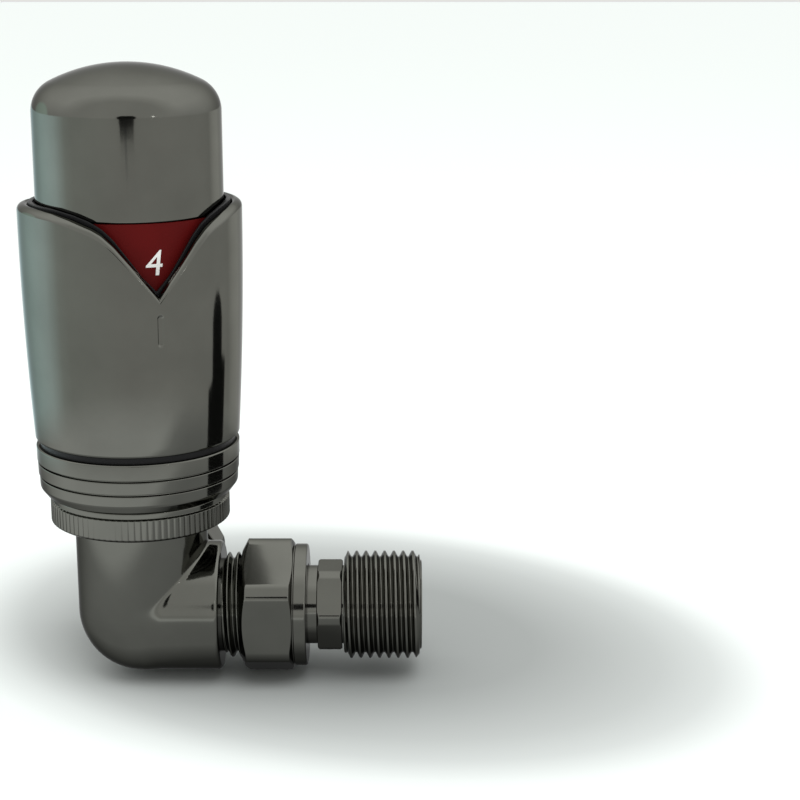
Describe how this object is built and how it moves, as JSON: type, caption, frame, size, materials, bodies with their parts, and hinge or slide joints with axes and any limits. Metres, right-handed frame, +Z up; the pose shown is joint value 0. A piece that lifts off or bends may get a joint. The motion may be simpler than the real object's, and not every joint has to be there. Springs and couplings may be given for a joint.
{
  "type": "thermostatic radiator valve",
  "caption": "Corner thermostatic radiator valve with a cylindrical sensor head, union tail and compression pipe inlet.",
  "frame": {"origin": "on the radiator axis, at the first crest of the radiator thread, next to the tail's hexagon", "axes": "+X out of the radiator tail, +Y out of the pipe inlet, +Z up the head"},
  "size_m": [0.0746, 0.0496, 0.1175],
  "materials": {
    "plated_brass": "black nickel plate on brass, polished",
    "plated_shell": "black nickel plate on moulded parts, polished",
    "bare_brass": "machined",
    "red_scale": "dark red with white numerals",
    "black_plastic": "moulded",
    "white_plastic": "moulded",
    "steel": "drawn wire and turned rod",
    "sensor_metal": "pressed can",
    "seal_rubber": "moulded rubber"
  },
  "bodies": {
    "body": {"valve_body": "plated_brass", "valve_insert": "bare_brass", "insert_seal": "seal_rubber", "gland_nut": "bare_brass", "gland_seal": "seal_rubber", "return_spring": "steel", "tailpiece": "plated_brass", "tail_seal": "seal_rubber", "tail_retaining_ring": "bare_brass", "olive": "bare_brass", "head_cage": "black_plastic", "ribbed_base_ring": "plated_shell", "outer_sleeve": "plated_shell", "sleeve_liner": "black_plastic"},
    "union": {"union_nut": "plated_brass"},
    "pipe_nut": {"compression_nut": "plated_brass"},
    "coupling": {"coupling_ring": "plated_brass"},
    "sensor": {"sensor_can": "sensor_metal", "sensor_base_plate": "bare_brass", "bellows": "bare_brass"},
    "knob": {"knob_barrel": "black_plastic", "lift_pin": "steel", "scale_ring": "red_scale", "knob_cap": "plated_shell", "sensor_clip": "steel", "overtravel_spring": "steel"},
    "stem": {"pusher": "white_plastic", "spindle": "steel", "plug_holder": "bare_brass", "seat_washer": "seal_rubber", "plug_nut": "bare_brass"}
  },
  "joints": [
    {"name": "knob_turn", "type": "hinge", "parent": "sensor", "child": "knob", "pos_m": [-0.0394, 0, 0.09], "axis": [0, 0, 1], "range_deg": [-200.01, 50.01]},
    {"name": "knob_rise", "type": "slide", "parent": "body", "child": "sensor", "axis": [0, 0, 1], "range_m": [-0.00139, 0.00035], "deforming": ["return_spring"]},
    {"name": "thermal_stroke", "type": "slide", "parent": "sensor", "child": "stem", "axis": [0, 0, 1], "range_m": [-0.001, 0], "stiffness_N_per_m": 2000, "deforming": ["bellows", "return_spring"]},
    {"name": "coupling_ring_turn", "type": "hinge", "parent": "body", "child": "coupling", "pos_m": [-0.0394, 0, 0.02], "axis": [0, 0, 1], "continuous": true},
    {"name": "union_nut_turn", "type": "hinge", "parent": "body", "child": "union", "pos_m": [-0.014, 0, 0], "axis": [1, 0, 0], "continuous": true},
    {"name": "compression_nut_turn", "type": "hinge", "parent": "body", "child": "pipe_nut", "pos_m": [-0.0394, 0.0229, 0.0035], "axis": [0, 1, 0], "continuous": true}
  ],
  "couplings": [
    {"joint": "knob_turn", "follows": "knob_rise", "rad_per_m": 2513.3}
  ]
}
